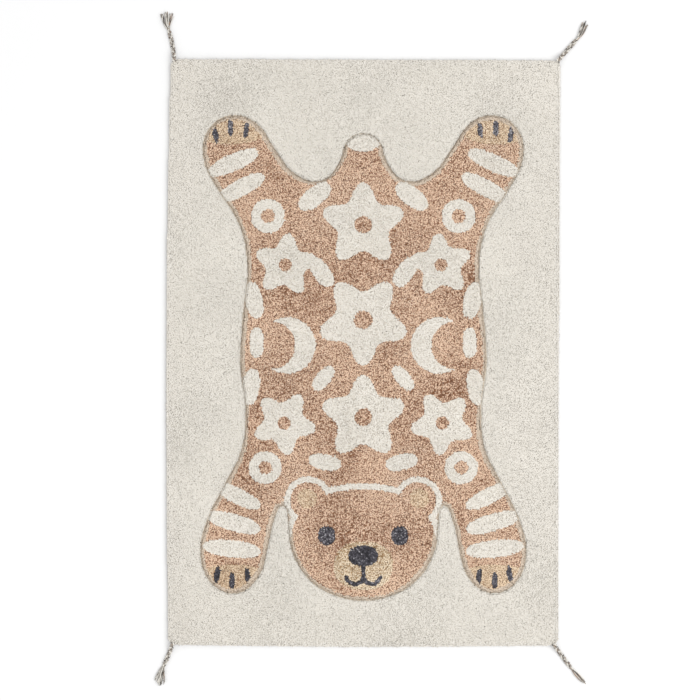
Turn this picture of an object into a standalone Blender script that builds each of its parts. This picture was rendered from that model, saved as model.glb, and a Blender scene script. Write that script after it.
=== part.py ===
"""A tufted cotton rug for a child's room, with a bear hide in relief and four braided corner tassels.

The rug lies flat on the plane Z = 0. Its origin is the middle of its underside, +Y runs to the
bear's tail, -Y to its head, and +Z is up out of the pile. All sizes are in metres.
"""
import math

import bmesh
import bpy
from mathutils import Vector

# the rug: cut at 1.2 by 1.8, and as uneven as hand-finished rugs are
RUG_WIDTH = 1.200
RUG_LENGTH = 1.800
CORNER_RADIUS = 0.024
RIM_ROUNDING = 0.0055          # the pile curls over at the hem
GROUND_HEIGHT = 0.014
SIDE_STEPS = 10
CORNER_STEPS = 5

# Each corner's shift from the true rectangle, and how far the side that follows it,
# counter-clockwise, bows outwards.
CORNERS = (
    # name         side    side   shift x  shift y  bow of the next side
    ("tail_right", 1,      1,     0.006,  -0.003,   0.0005),
    ("tail_left", -1,      1,     0.008,   0.001,   0.0100),
    ("head_left", -1,     -1,     0.001,   0.003,   0.0050),
    ("head_right", 1,     -1,    -0.001,   0.001,  -0.0010),
)

# the bear, which stands a little above the ground inside a carved groove
BEAR_HEIGHT = 0.0175
GROOVE_WIDTH = 0.0070
GROOVE_FLOOR = 0.0070
SHOULDER_ROUNDING = 0.0085     # the bear's sheared, sloping edge
SHOULDER_STEPS = 3
OUTLINE_STEPS = 3              # points for each stretch of the outline

# Half of the bear's outline, from the middle of the tail round to the chin.
BEAR_HALF = (
    # place            x       y
    ("tail tip",       0.000,  0.672),
    ("tail side",      0.048,  0.650),
    ("tail root",      0.074,  0.584),
    ("rump",           0.128,  0.528),
    ("hind crotch",    0.208,  0.548),
    ("hind inner",     0.268,  0.622),
    ("hind toe in",    0.330,  0.706),
    ("hind toe top",   0.402,  0.728),
    ("hind toe out",   0.470,  0.690),
    ("hind heel",      0.492,  0.606),
    ("hind shin",      0.452,  0.508),
    ("hip",            0.388,  0.408),
    ("flank top",      0.356,  0.290),
    ("flank",          0.368,  0.130),
    ("belly",          0.378, -0.030),
    ("ribs",           0.362, -0.170),
    ("shoulder",       0.372, -0.290),
    ("fore outer",     0.424, -0.400),
    ("fore wrist",     0.478, -0.510),
    ("fore toe out",   0.500, -0.620),
    ("fore toe low",   0.462, -0.712),
    ("fore toe tip",   0.388, -0.738),
    ("fore toe in",    0.322, -0.690),
    ("fore inner",     0.292, -0.600),
    ("armpit outer",   0.270, -0.506),
    ("armpit",         0.246, -0.470),
    ("cheek top",      0.232, -0.520),
    ("cheek",          0.222, -0.600),
    ("jaw",            0.168, -0.694),
    ("chin side",      0.084, -0.746),
    ("chin",           0.000, -0.760),
)

# the corner tassels
STRAND_RADIUS = 0.0026         # of the three plaited strands
BRAID_SPREAD = 0.0037          # how far a strand swings to each side
BRAID_RISE = 0.0016            # how far it goes over and under
BRAID_PITCH = 0.030            # length in which a strand comes back to its side
STEPS_PER_PITCH = 8
STRAND_BEVEL_RESOLUTION = 1
NECK_LENGTH = 0.007
NECK_RADIUS = 0.0036
YARN_RADIUS = 0.00125          # of the brush's yarns
YARN_STEPS = 4
YARN_SPACING = 0.0036          # between the tips on the floor
LAYER_SHARES = (1.0, 0.65)     # yarns on the floor, then on top of them
SEAT_GAP = 0.0003              # between a tassel and the corner it is sewn to

# Headings are in degrees from +X, counter-clockwise: at the root, at the braid's end and in the brush.
# The root is measured inwards from its corner.
TASSELS = (
    # corner        root x  root y   headings              braid   brush   fan at the end
    ("tail_left",   0.018,  0.009,   (99.0, 105.0, 90.0),  0.102,  0.048,  0.042),
    ("tail_right",  0.009,  0.004,   (42.0, 50.0, 66.0),   0.090,  0.060,  0.027),
    ("head_left",   0.018,  0.006,   (249.0, 245.0, 259.0), 0.074, 0.058,  0.034),
    ("head_right",  0.014,  0.004,   (303.0, 308.0, 316.0), 0.095, 0.055,  0.016),
)

# materials: name, colour in linear light, roughness
CREAM_PILE = ("cream_cotton_pile", (0.68, 0.64, 0.57, 1.0), 0.95)
MIXED_BRAID = ("mixed_cotton_braid", (0.50, 0.47, 0.42, 1.0), 0.90)


def clear_objects():
    """Removes whatever the file holds."""
    for thing in list(bpy.data.objects):
        bpy.data.objects.remove(thing, do_unlink=True)


def new_collection(name):
    """A collection linked to the scene."""
    group = bpy.data.collections.new(name)
    bpy.context.scene.collection.children.link(group)
    return group


def matte_material(name, colour, roughness):
    """Plain matte cotton."""
    material = bpy.data.materials.new(name)
    material.use_nodes = True
    surface = material.node_tree.nodes["Principled BSDF"]
    surface.inputs["Base Color"].default_value = colour
    surface.inputs["Roughness"].default_value = roughness
    surface.inputs["Metallic"].default_value = 0.0
    material.diffuse_color = colour
    return material


def flat_outline(name, group):
    """An empty filled 2D curve."""
    curve = bpy.data.curves.new(name, "CURVE")
    curve.dimensions = "2D"
    curve.fill_mode = "BOTH"
    outline = bpy.data.objects.new(name, curve)
    group.objects.link(outline)
    return outline


def solid_from_curve(outline, name, group):
    """Turns a curve into a closed mesh with its caps welded on, in the curve's place."""
    bpy.context.view_layer.update()
    evaluated = outline.evaluated_get(bpy.context.evaluated_depsgraph_get())
    mesh = bpy.data.meshes.new_from_object(evaluated)
    mesh.name = name
    work = bmesh.new()
    work.from_mesh(mesh)
    bmesh.ops.remove_doubles(work, verts=work.verts, dist=0.00001)
    bmesh.ops.recalc_face_normals(work, faces=work.faces)
    work.to_mesh(mesh)
    work.free()
    placed = outline.matrix_world.copy()
    bpy.data.objects.remove(outline, do_unlink=True)
    solid = bpy.data.objects.new(name, mesh)
    group.objects.link(solid)
    solid.matrix_world = placed
    return solid


def hide_guide(guide):
    """A guide or cutter is drawn in wire and isn't part of the rug."""
    guide.hide_render = True
    guide.display_type = "WIRE"


def apply_boolean(target, operation, other=None, group=None):
    """Cuts or joins, and keeps the result as the target's own mesh."""
    modifier = target.modifiers.new(operation.lower(), "BOOLEAN")
    modifier.operation = operation
    modifier.solver = "EXACT"
    if group:
        modifier.operand_type = "COLLECTION"
        modifier.collection = group
    else:
        modifier.object = other
    bpy.context.view_layer.update()
    evaluated = target.evaluated_get(bpy.context.evaluated_depsgraph_get())
    mesh = bpy.data.meshes.new_from_object(evaluated)
    mesh.name = target.name
    target.modifiers.clear()
    target.data = mesh


# the rug ----------------------------------------------------------------------------------------

def side_points(start, end, bow):
    """Points along one side of the rug, bowed outwards in its middle, without the first and last."""
    along = end - start
    outward = Vector((along.y, -along.x)).normalized()
    points = []
    for step in range(1, SIDE_STEPS):
        share = step / SIDE_STEPS
        points.append(start + along * share + outward * bow * math.sin(math.pi * share))
    return points


def corner_place(row):
    """Where the two sides at a corner would meet."""
    _, side_x, side_y, shift_x, shift_y, _ = row
    return Vector((side_x * RUG_WIDTH / 2 + shift_x, side_y * RUG_LENGTH / 2 + shift_y))


def corner_points(row, first_angle):
    """A quarter round at one corner, counter-clockwise from first_angle in degrees."""
    _, side_x, side_y, _, _, _ = row
    centre = corner_place(row) - CORNER_RADIUS * Vector((side_x, side_y))
    points = []
    for step in range(CORNER_STEPS + 1):
        angle = math.radians(first_angle + 90.0 * step / CORNER_STEPS)
        points.append(centre + CORNER_RADIUS * Vector((math.cos(angle), math.sin(angle))))
    return points


def rug_outline_points():
    """The rug's outline, counter-clockwise from its right side's upper end."""
    arcs = [corner_points(row, 90.0 * quarter) for quarter, row in enumerate(CORNERS)]
    points = []
    for index, row in enumerate(CORNERS):
        next_arc = arcs[(index + 1) % len(arcs)]
        bow = row[-1]
        points += arcs[index]
        points += side_points(arcs[index][-1], next_arc[0], bow)
    return points


def poly_outline(name, points, group):
    """A filled outline of straight stretches between the points."""
    outline = flat_outline(name, group)
    spline = outline.data.splines.new("POLY")
    spline.points.add(len(points) - 1)
    for target, point in zip(spline.points, points):
        target.co = (point.x, point.y, 0.0, 1.0)
    spline.use_cyclic_u = True
    return outline


def rug_slab(group):
    """The ground: backing and sheared pile, round at the hem."""
    outline = poly_outline("rug_outline", rug_outline_points(), group)
    outline.data.bevel_depth = RIM_ROUNDING
    outline.data.bevel_resolution = 1
    outline.data.offset = -RIM_ROUNDING
    outline.data.extrude = GROUND_HEIGHT / 2 - RIM_ROUNDING
    outline.location.z = GROUND_HEIGHT / 2
    return solid_from_curve(outline, "rug", group)


def bear_outline(name, offset, low, high, group):
    """A straight-sided block of the bear's outline, grown by offset, from low to high."""
    outline = flat_outline(name, group)
    right = [(x, y) for _, x, y in BEAR_HALF]
    left = [(-x, y) for _, x, y in BEAR_HALF[-2:0:-1]]
    spline = outline.data.splines.new("BEZIER")
    spline.bezier_points.add(len(right) + len(left) - 1)
    for target, (x, y) in zip(spline.bezier_points, right + left):
        target.co = (x, y, 0.0)
        target.handle_left_type = "AUTO"
        target.handle_right_type = "AUTO"
    spline.use_cyclic_u = True
    spline.resolution_u = OUTLINE_STEPS
    outline.data.offset = offset
    outline.data.extrude = (high - low) / 2
    outline.location.z = (high + low) / 2
    return solid_from_curve(outline, name, group)


def round_top_edge(block, width, steps):
    """Rounds the rim of a block's upper face."""
    work = bmesh.new()
    work.from_mesh(block.data)
    top = max(vertex.co.z for vertex in work.verts)
    rim = [edge for edge in work.edges
           if all(abs(vertex.co.z - top) < 0.00001 for vertex in edge.verts)
           and any(abs(face.normal.z) < 0.5 for face in edge.link_faces)]
    bmesh.ops.bevel(work, geom=rim, offset=width, segments=steps, profile=0.5, affect="EDGES")
    work.to_mesh(block.data)
    work.free()


def make_rug(group, cutters):
    """One solid: the ground with the groove cut in it and the bear standing inside the groove."""
    rug = rug_slab(group)
    pocket = bear_outline("groove_cutter", GROOVE_WIDTH / 2, GROOVE_FLOOR, 2 * BEAR_HEIGHT, cutters)
    hide_guide(pocket)
    apply_boolean(rug, "DIFFERENCE", pocket)
    bear = bear_outline("bear_relief", -GROOVE_WIDTH / 2, GROOVE_FLOOR / 2, BEAR_HEIGHT, cutters)
    hide_guide(bear)
    round_top_edge(bear, SHOULDER_ROUNDING, SHOULDER_STEPS)
    apply_boolean(rug, "UNION", bear)
    rug.data.shade_smooth()
    rug.data.set_sharp_from_angle(angle=math.radians(40.0))
    rug.data.materials.clear()
    rug.data.materials.append(matte_material(*CREAM_PILE))
    return rug


# the tassels ------------------------------------------------------------------------------------

class TasselLine:
    """The middle line of a tassel on the floor, which turns a little in its braid and its brush."""

    def __init__(self, root, headings, braid, brush):
        self.root = root
        self.headings = [math.radians(heading) for heading in headings]
        self.braid = braid
        self.total = braid + NECK_LENGTH + brush

    def angle(self, distance):
        """The heading at a distance along the line."""
        first, middle, last = self.headings
        if distance < self.braid:
            return first + (middle - first) * distance / self.braid
        turned = min(1.0, 2.0 * (distance - self.braid) / (self.total - self.braid))
        return middle + (last - middle) * turned

    def point(self, distance, across=0.0, height=0.0):
        """A point at a distance along the line, moved across it and up."""
        steps = 16
        place = self.root.copy()
        for step in range(steps):
            angle = self.angle(distance * (step + 0.5) / steps)
            place += Vector((math.cos(angle), math.sin(angle))) * distance / steps
        angle = self.angle(distance)
        place += Vector((-math.sin(angle), math.cos(angle))) * across
        return Vector((place.x, place.y, height))


def tube(name, points, radius, resolution, group, tilt=0.0):
    """A closed tube through the points."""
    curve = bpy.data.curves.new(name, "CURVE")
    curve.dimensions = "3D"
    curve.twist_mode = "Z_UP"
    curve.bevel_depth = radius
    curve.bevel_resolution = resolution
    curve.use_fill_caps = True
    spline = curve.splines.new("POLY")
    spline.points.add(len(points) - 1)
    for target, point in zip(spline.points, points):
        target.co = (point.x, point.y, point.z, 1.0)
        target.tilt = tilt
    wire = bpy.data.objects.new(name, curve)
    group.objects.link(wire)
    return solid_from_curve(wire, name, group)


def braid_strand(line, index, group):
    """One of the three strands: it swings from side to side and passes over and under the others."""
    steps = max(8, round(line.braid / BRAID_PITCH * STEPS_PER_PITCH))
    resting = STRAND_RADIUS + BRAID_RISE
    points = []
    for step in range(steps + 1):
        share = step / steps
        phase = 2 * math.pi * (share * line.braid / BRAID_PITCH + index / 3)
        narrowing = 1.0 - 0.55 * max(0.0, (share - 0.85) / 0.15)
        across = BRAID_SPREAD * narrowing * math.sin(phase)
        height = resting + BRAID_RISE * narrowing * math.sin(2 * phase)
        points.append(line.point(share * (line.braid + NECK_LENGTH / 2), across, height))
    return tube(f"strand_{index}", points, STRAND_RADIUS, STRAND_BEVEL_RESOLUTION, group)


def neck(line, name, group):
    """The binding between braid and brush, which lies on the floor."""
    points = [line.point(line.braid + share * NECK_LENGTH, 0.0, NECK_RADIUS) for share in (0.0, 0.5, 1.0)]
    return tube(name, points, NECK_RADIUS, 2, group)


def brush_yarn(line, layer, place, fan, group):
    """One yarn of the open end: it leaves the neck, comes down and lies level."""
    resting = YARN_RADIUS / math.sqrt(2.0) + layer * 1.9 * YARN_RADIUS
    leaving = NECK_RADIUS + layer * YARN_RADIUS
    start = line.braid + NECK_LENGTH * 0.6
    uneven = math.sin(41.0 * place + 13.0 * layer)
    length = (line.total - start) * (0.95 - 0.06 * layer - 0.10 * place**2 + 0.05 * uneven)
    points = []
    for step in range(YARN_STEPS + 1):
        share = step / YARN_STEPS
        opening = 0.08 + 0.92 * share**1.2 * (1.0 - 0.15 * layer)
        curl = 0.0012 * uneven * math.sin(math.pi * share)
        landed = min(1.0, share * 2.2)
        height = leaving + (resting - leaving) * (3 * landed**2 - 2 * landed**3)
        points.append(line.point(start + length * share, place * fan / 2 * opening + curl, height))
    return tube(f"yarn_{layer}_{place:+.2f}", points, YARN_RADIUS, 0, group, math.pi / 4)


def brush(line, fan, group):
    """The open end: yarns side by side on the floor and a shorter row on top."""
    across = max(5, round(fan / YARN_SPACING))
    for layer, share in enumerate(LAYER_SHARES):
        count = round(across * share)
        for index in range(count):
            place = -1.0 + 2.0 * (index + 0.5) / count
            hide_guide(brush_yarn(line, layer, place, fan, group))


def make_tassel(row, group, cutters, seat):
    """A three-strand braid, its neck and its brush, joined into one solid and fitted to its corner."""
    corner_name, root_x, root_y, headings, braid, brush_length, fan = row
    corner = next(each for each in CORNERS if each[0] == corner_name)
    _, side_x, side_y, _, _, _ = corner
    root = corner_place(corner) - Vector((side_x * root_x, side_y * root_y))
    line = TasselLine(root, headings, braid, brush_length)
    name = "tassel_" + corner_name
    pieces = bpy.data.collections.new(name + "_pieces")
    cutters.children.link(pieces)
    for index in range(3):
        hide_guide(braid_strand(line, index, pieces))
    brush(line, fan, pieces)
    tassel = neck(line, name, group)
    apply_boolean(tassel, "UNION", group=pieces)
    apply_boolean(tassel, "DIFFERENCE", seat)
    tassel.data.shade_smooth()
    tassel.data.set_sharp_from_angle(angle=math.radians(50.0))
    tassel.data.materials.clear()
    tassel.data.materials.append(matte_material(*MIXED_BRAID))
    return tassel


def seat_cutter(cutters):
    """The rug's outline grown by the seat gap: no tassel reaches inside it."""
    outline = poly_outline("corner_seat", rug_outline_points(), cutters)
    outline.data.offset = SEAT_GAP
    outline.data.extrude = BEAR_HEIGHT * 2
    seat = solid_from_curve(outline, "corner_seat", cutters)
    hide_guide(seat)
    return seat


def main():
    clear_objects()
    group = new_collection("bear_rug")
    cutters = new_collection("cutters")
    make_rug(group, cutters)
    seat = seat_cutter(cutters)
    for row in TASSELS:
        make_tassel(row, group, cutters, seat)


main()
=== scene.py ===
import math

import bmesh
import bpy
import numpy as np
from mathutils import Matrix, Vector
from mathutils.bvhtree import BVHTree


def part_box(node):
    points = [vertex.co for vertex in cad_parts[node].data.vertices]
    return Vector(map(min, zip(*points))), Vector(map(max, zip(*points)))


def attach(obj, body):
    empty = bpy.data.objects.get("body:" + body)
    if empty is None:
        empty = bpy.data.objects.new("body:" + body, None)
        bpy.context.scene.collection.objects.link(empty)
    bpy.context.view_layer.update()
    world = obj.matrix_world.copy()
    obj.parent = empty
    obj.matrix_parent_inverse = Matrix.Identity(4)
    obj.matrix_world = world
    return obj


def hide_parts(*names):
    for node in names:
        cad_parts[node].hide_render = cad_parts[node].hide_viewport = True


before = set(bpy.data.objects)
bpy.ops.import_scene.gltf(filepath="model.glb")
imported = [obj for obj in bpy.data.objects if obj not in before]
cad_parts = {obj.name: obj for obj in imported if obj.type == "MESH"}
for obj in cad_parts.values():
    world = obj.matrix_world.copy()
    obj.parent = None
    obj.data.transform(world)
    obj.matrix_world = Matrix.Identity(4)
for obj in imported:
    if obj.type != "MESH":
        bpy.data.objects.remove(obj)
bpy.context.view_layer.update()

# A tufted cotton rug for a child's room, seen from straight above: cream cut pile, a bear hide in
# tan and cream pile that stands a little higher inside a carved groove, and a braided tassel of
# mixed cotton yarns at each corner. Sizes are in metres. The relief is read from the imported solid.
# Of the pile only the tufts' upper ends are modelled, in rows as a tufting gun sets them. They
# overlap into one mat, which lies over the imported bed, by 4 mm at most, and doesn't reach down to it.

# --- the pile -------------------------------------------------------------------------------------

PITCH = 0.0040              # between rows, and between the tufts of a row
RIM_PITCH = 0.0037          # along the rug's edge
RIM_TUFT = 0.0023           # radius of a tuft there
SHOULDER = 0.0085           # width of the bear's sheared slope, as on the solid
GROOVE = 0.0070             # width of the carved groove outside it, on the solid
GROOVE_PILE = 0.0122        # height of the short pile that is left in it
GROOVE_LIP = 0.0128         # height of the pile on its two sides, where it leans in over the groove
SLOT = 0.0034               # width of the groove that shows between the pile on its two sides
LINE_PITCH = 0.0030         # between the tufts of the rows that follow the bear's outline
LINE_TUFT = 0.68            # their radius, as a share of the others'
OUTLINE_FROM = -0.0025      # the outline's grey-beige yarn begins just inside the slope
RIM_ROUNDING = 0.0055       # of the rug's edge, as on the solid
EDGE_TUFT = 0.74            # radius of the tufts outside the hem's line, as a share of the others'
RIM_TUFT_RUN = 0.0052       # how far a rim tuft runs outwards from root to tip
RIM_UNEVEN = (-0.0008, 0.0006)   # how much shorter or longer, and lower or higher, it may be
HEM_LEAN = 0.0016           # how far the last tufts before the rim lean out,
HEM_LEAN_FROM, HEM_LEAN_OVER = -0.006, 0.009   # from here, beside the hem's line, and over this width
HEM_BAND = 0.010            # along the hem the pile is painted paler over this width: painted light
RUG_HALF = (0.60, 0.90)     # half the rug's width and length
BED_INSET = 0.0040          # how far the backing is drawn in from the rug's edge
BED_HEIGHT = 0.76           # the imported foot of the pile, as a share of the rug's height
GROUND_BANDS = (-0.30, 0.30)   # the ground's pile is made in three lengths of cloth
BEAR_WAIST = -0.04          # and the tan pile in two

# How each yarn is tufted. A tuft's radius is a share of the pitch, and its depth is how much of its
# upper end is modelled. A shallow one looks calm from above, but from low down the shade under it
# shows between the tufts. Tufts cling together in clumps, by a share of the way to a clump's
# middle, and each clump has its own shade. A few tufts are painted darker still, as painted shade
# of the gaps between tufts, and a few are lost.
PILE = {
    # yarn       radius  depth    height   wanders  leans    shade   clings  clump   dark   parts  lost
    "ground":   (1.30,   0.0018,  0.0002,  0.24,    0.0003,  0.035,  0.04,   0.05,   0.004, 0.02,  0.001),
    "outline":  (1.28,   0.0028,  0.0003,  0.24,    0.0004,  0.05,   0.08,   0.08,   0.010, 0.04,  0.000),
    "groove":   (1.40,   0.0030,  0.0003,  0.16,    0.0003,  0.05,   0.00,   0.10,   0.020, 0.00,  0.000),
    "tan":      (1.24,   0.0034,  0.0006,  0.34,    0.0008,  0.06,   0.38,   0.16,   0.035, 0.25,  0.003),
    "motif":    (1.30,   0.0022,  0.0002,  0.26,    0.0004,  0.035,  0.12,   0.07,   0.008, 0.06,  0.000),
    "sand":     (1.26,   0.0031,  0.0005,  0.32,    0.0008,  0.05,   0.34,   0.16,   0.015, 0.12,  0.002),
    "muzzle":   (1.24,   0.0036,  0.0007,  0.32,    0.0008,  0.08,   0.38,   0.20,   0.030, 0.24,  0.003),
    "charcoal": (1.38,   0.0038,  0.0006,  0.30,    0.0008,  0.22,   0.32,   0.30,   0.040, 0.16,  0.000),
}
YARNS = tuple(PILE)
CLUMP = 0.0078              # a clump's width
CLUMP_SHAPE = (1.0, 0.62)   # of its width to its length, which runs with the rows
CLUMP_BEND = 0.006          # how far its length wanders off the rows
PARTING = 0.0135            # between clumps the pile parts in fine lines, lower and painted dark as painted shade, two to this length
ROW_PARTING = (0.35, 1.0)   # in the plain ground these lines are drawn out along the width
# how much darker the tufts in a parting are painted: painted shade
PARTING_SHADE = 0.22
PARTED_MIDDLE = 0.62        # how far the pile is parted on the bear's body
PARTED_PAWS = 0.20          # and on its paws, where it is smoother and, with less painted shade, paler
BODY_REACH = (0.50, 0.75)   # half the hide's width and length
PAWS_FROM, PAWS_OVER = 0.65, 0.45   # as shares of that: where it turns smoother, and over how much
VEIL_WANDER = 0.0030        # how far the outline's yarn reaches more or less into the hide
LOCK_LENGTH, LOCK_WIDTH = 1.32, 0.74   # a cut tuft opens into a lock that is longer than wide

# --- the pattern ----------------------------------------------------------------------------------

# Cream motifs on the tan hide. A row with x above 0 is worked on both sides of the spine.
MOTIFS = (
    # form      x       y       size    width   turn in degrees
    ("star",    0.000,  0.392,  0.128,  0.36,   90.0),
    ("star",    0.000,  0.100,  0.138,  0.36,  -90.0),
    ("star",    0.000, -0.198,  0.130,  0.36,   90.0),
    ("star",    0.238,  0.268,  0.096,  0.36,   24.0),
    ("star",    0.242, -0.215,  0.098,  0.36,  -24.0),
    ("moon",    0.232,  0.022,  0.086,  0.050,   0.0),
    ("pebble",  0.326,  0.030,  0.046,  0.022,  90.0),
    ("pebble",  0.128,  0.246,  0.050,  0.026,  55.0),
    ("pebble",  0.122, -0.078,  0.044,  0.022, -50.0),
    ("pebble",  0.334,  0.160,  0.056,  0.026,  78.0),
    ("pebble",  0.344, -0.105,  0.056,  0.026, 100.0),
    ("pebble",  0.118, -0.335,  0.050,  0.024,  12.0),
    ("pebble",  0.148,  0.478,  0.058,  0.028, -38.0),
    ("ring",    0.292,  0.418,  0.052,  0.030,   0.0),
    ("ring",    0.300, -0.352,  0.050,  0.029,   0.0),
    ("pebble",  0.372,  0.506,  0.078,  0.025, -28.0),
    ("pebble",  0.398,  0.582,  0.082,  0.026, -24.0),
    ("pebble",  0.382, -0.440,  0.074,  0.024,  26.0),
    ("pebble",  0.396, -0.520,  0.084,  0.026,  16.0),
    ("pebble",  0.402, -0.600,  0.088,  0.026,   6.0),
)
STAR_HEART = 0.21           # a star's tan middle, as a share of its size
TAIL_TIP = (0.0, 0.690, 0.075)   # x, y and radius of the cream tuft of the tail

# The head and the paws.
HEAD = ("pebble", 0.0, -0.590, 0.222, 0.172, 0.0)
EAR = (0.168, -0.452, 0.056)
INNER_EAR = (0.172, -0.446, 0.030)
COLLAR = 0.017              # the cream line round the head and ears
MUZZLE = ("pebble", 0.0, -0.652, 0.090, 0.074, 0.0)
NOSE = ("pebble", 0.0, -0.622, 0.045, 0.031, 0.0)
EYE = ("pebble", 0.112, -0.560, 0.026, 0.029, 0.0)
MOUTH_LINE = 0.0062         # half the width of the mouth's lines
MOUTH_TOP, MOUTH_CORNER, MOUTH_CURVE = -0.640, -0.682, 0.026
PAWS = (("pebble", 0.408, 0.690, 0.112, 0.052, 0.0), ("pebble", 0.402, -0.705, 0.115, 0.056, 0.0))
CLAW_LENGTH, CLAW_WIDTH = 0.026, 0.0085
CLAWS = (
    # x      y       turn
    (0.358,  0.682, 100.0),
    (0.406,  0.688,  90.0),
    (0.452,  0.668,  78.0),
    (0.354, -0.686,  82.0),
    (0.402, -0.698,  90.0),
    (0.448, -0.678, 100.0),
)

# --- the tassels, near the lines of their solids ---------------------------------------------------

CORNERS = {"tail_right": (0.606, 0.897), "tail_left": (-0.592, 0.901),
           "head_left": (-0.599, -0.897), "head_right": (0.599, -0.899)}
BRAID_SPREAD = 0.0042       # how far a strand swings to each side
BRAID_RISE = 0.0016         # how far it goes over and under
BRAID_PITCH = 0.030         # length in which it comes back to its side
BRAID_STEPS = 22            # in that length
STRAND_RADIUS = 0.0030
NECK_LENGTH = 0.007
NECK_RADIUS = 0.0036
NECK_WALL = 0.0012          # how far inside it the brush's yarns stay
BRAID_NARROWS, BRAID_CLOSES = 0.84, 0.62   # where along it the braid narrows, and by how much
YARNS_IN_STRAND = 6
STRAND_TWIST = 0.014        # length of a strand in which its yarns go round once
YARN_RADIUS = 0.00118       # in braid and brush
YARN_WOBBLE = 0.00012
THREAD_RADIUS = 0.0005      # of the whipping
THREAD_TURNS, THREAD_STEPS = 5, 14
BRUSH_YARNS = 26
BRUSH_LAYERS = 4
BRUSH_STEPS = 12
BRUSH_CURL = 0.0013
# where each lot of yarn starts among the yarns: natural, light grey, grey, tan, charcoal
YARN_LOTS = ((0.0, "#d6d2ca"), (0.30, "#a8a39b"), (0.52, "#79736c"), (0.68, "#a58c79"), (0.80, "#48423e"))
OTHER_PLY = 0.15            # how far on among them a yarn's second ply is taken from
TASSELS = (
    # corner        root x  root y   headings in degrees    braid   brush   fan     gathers again
    ("tail_left",   0.014,  0.010,   (94.0, 107.0, 90.0),   0.099,  0.052,  0.042,  0.0),
    ("tail_right",  0.012,  0.006,   (49.0, 48.0, 66.0),    0.088,  0.062,  0.024,  0.2),
    ("head_left",   0.017,  0.010,   (251.0, 245.0, 259.0), 0.075,  0.061,  0.034,  0.0),
    ("head_right",  0.017,  0.008,   (304.0, 308.0, 316.0), 0.093,  0.062,  0.022,  0.9),
)
SEWN_LENGTH = 0.034         # of a braid, from where it is sewn on top of the corner down to the floor
SEWN_HEIGHT = 0.0132
SEWN_SINK = 0.25            # how fast its end sinks into the pile, over the stitched length
STITCHED_LENGTH = 0.007

# --- the camera and the light ----------------------------------------------------------------------

VIEW_WIDTH = 2.149          # of the floor that the photo's frame takes in
VIEW_CENTRE = (-0.0405, 0.0081)
LENS_MM, SENSOR_MM = 85.0, 36.0
ROOM_LIGHT = 1.10
LAMP_PLACE = (3.2, -1.2, 5.5)
LAMP_SIZE = 4.5
LAMP_WATTS = 200.0
FLOOR_WHITE = 0.735         # in linear light

POINTS_AT_ONCE = 4000       # whose distance to an outline is worked out together
PILE_SEED = 27
LINE_SEED = 5               # of the wander of the rows beside the groove


# --- materials ------------------------------------------------------------------------------------

def linear(colour):
    """An sRGB hex colour as linear light."""
    parts = [int(colour[i:i + 2], 16) / 255 for i in (1, 3, 5)]
    return [c / 12.92 if c <= 0.04045 else ((c + 0.055) / 1.055) ** 2.4 for c in parts] + [1.0]


def put(material, kind, inputs=None, **settings):
    """Adds a shader node with its settings; an input is a value or another node's output."""
    made = material.node_tree.nodes.new("ShaderNode" + kind)
    for name, value in settings.items():
        setattr(made, name, value)
    for name, value in (inputs or {}).items():
        if isinstance(value, bpy.types.NodeSocket):
            material.node_tree.links.new(value, made.inputs[name])
        else:
            made.inputs[name].default_value = value
    return made


def new_material(name):
    """An empty material, its surface shader and the place on the object, where its pattern is laid out."""
    material = bpy.data.materials.new(name)
    material.use_nodes = True
    surface = material.node_tree.nodes["Principled BSDF"]
    return material, surface, put(material, "TexCoord").outputs["Object"]


def set_finish(material, surface, colour, raised, roughness, specular=0.5, sheen=0.0, sheen_roughness=0.5):
    """Links a surface's colour and its bump, and sets its gloss and the sheen of its loose fibres."""
    material.node_tree.links.new(colour, surface.inputs["Base Color"])
    material.node_tree.links.new(raised.outputs["Normal"], surface.inputs["Normal"])
    surface.inputs["Roughness"].default_value = roughness
    surface.inputs["Specular IOR Level"].default_value = specular
    surface.inputs["Sheen Weight"].default_value = sheen
    surface.inputs["Sheen Roughness"].default_value = sheen_roughness
    return material


def set_ramp(ramp, stops):
    """Colours along a ramp, from (place, hex) pairs."""
    elements = ramp.color_ramp.elements
    while len(elements) < len(stops):
        elements.new(1.0)
    for element, (place, colour) in zip(elements, stops):
        element.position = place
        element.color = linear(colour)


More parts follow.
